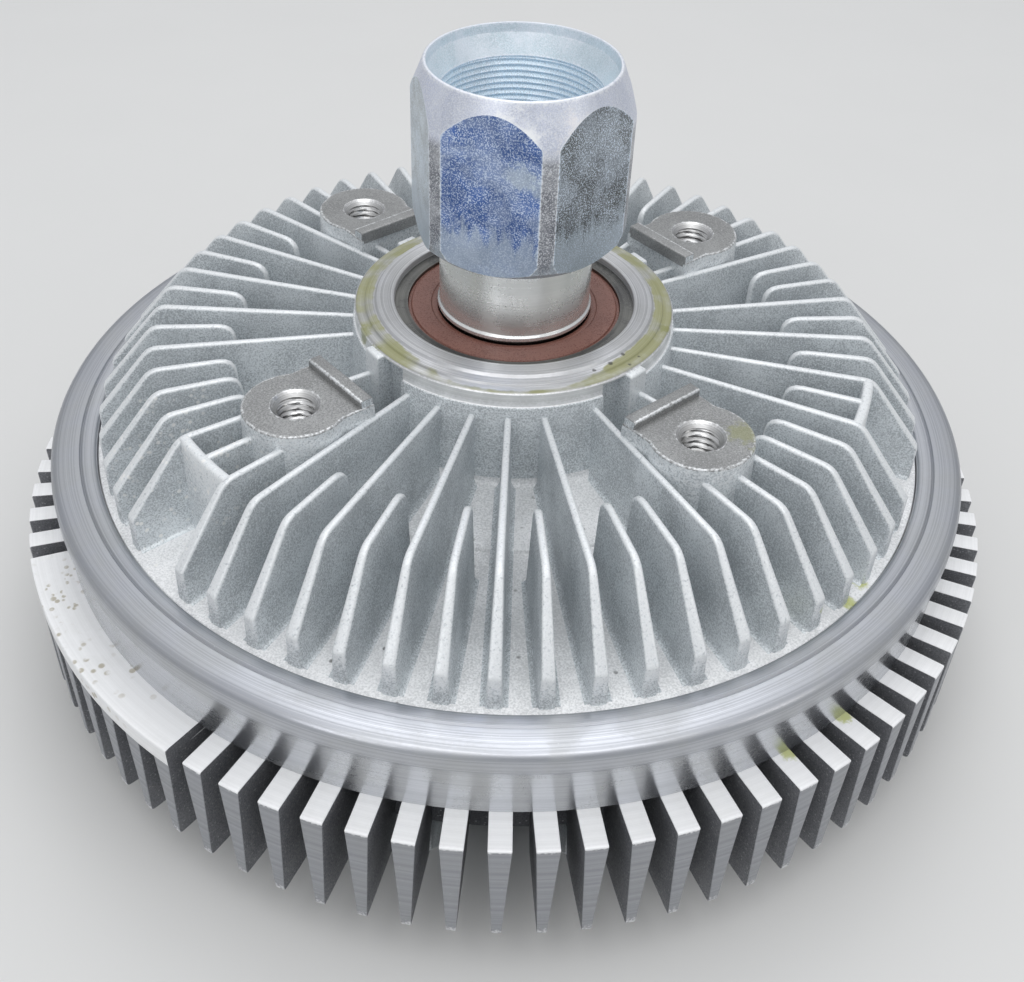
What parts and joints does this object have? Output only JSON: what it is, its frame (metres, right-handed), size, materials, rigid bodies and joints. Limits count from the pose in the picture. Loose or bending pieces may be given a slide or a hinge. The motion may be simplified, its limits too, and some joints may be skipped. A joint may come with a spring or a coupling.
{
  "type": "viscous fan clutch",
  "caption": "Finned aluminium viscous fan clutch: hexagon coupling on a sealed bearing, tapped fan bosses, and a rotor, valve and bimetal coil inside.",
  "frame": {"origin": "on the clutch axis at the standing plane under the nose fins", "axes": "+Z along the clutch axis, towards the hexagon coupling"},
  "size_m": [0.1938, 0.1938, 0.1203],
  "materials": {
    "cast_housing": "blasted casting",
    "cast_cover": "turned casting",
    "seal_rubber": "matte",
    "plated_steel": "zinc plated",
    "bearing_steel": "ground",
    "ball_steel": "polished",
    "cage_brass": "satin",
    "red_seal": "satin",
    "rotor_aluminium": "turned",
    "spring_steel": "blackened",
    "plate_steel": "satin",
    "bimetal": "satin strip"
  },
  "bodies": {
    "housing": {"rear_housing": "cast_housing", "front_cover": "cast_cover", "cover_seal": "seal_rubber", "bearing_outer_race": "bearing_steel", "bearing_seal_rear": "red_seal", "bearing_seal_front": "red_seal", "pump_plate": "plate_steel", "plate_rivets": "plate_steel", "valve_bush": "cage_brass", "bimetal_coil": "bimetal", "coil_bracket": "plate_steel", "bracket_screws": "plate_steel"},
    "input": {"input_shaft": "plated_steel", "bearing_inner_race": "bearing_steel", "rotor_disc": "rotor_aluminium", "rotor_retaining_ring": "spring_steel"},
    "ball_train": {"bearing_balls": "ball_steel", "bearing_cage": "cage_brass"},
    "valve": {"valve_shaft": "plate_steel", "valve_arm": "plate_steel", "valve_shaft_seal": "seal_rubber"}
  },
  "joints": [
    {"name": "input_spin", "type": "hinge", "parent": "housing", "child": "input", "pos_m": [0, 0, 0.0656], "axis": [0, 0, 1], "continuous": true},
    {"name": "ball_train_spin", "type": "hinge", "parent": "housing", "child": "ball_train", "pos_m": [0, 0, 0.0656], "axis": [0, 0, 1], "continuous": true},
    {"name": "valve_turn", "type": "hinge", "parent": "housing", "child": "valve", "pos_m": [0, 0, 0.016], "axis": [0, 0, 1], "range_deg": [0, 30], "stiffness_Nm_per_rad": 0.3, "deforming": ["bimetal_coil"]}
  ],
  "couplings": [
    {"joint": "ball_train_spin", "follows": "input_spin", "ratio": 0.3815}
  ]
}
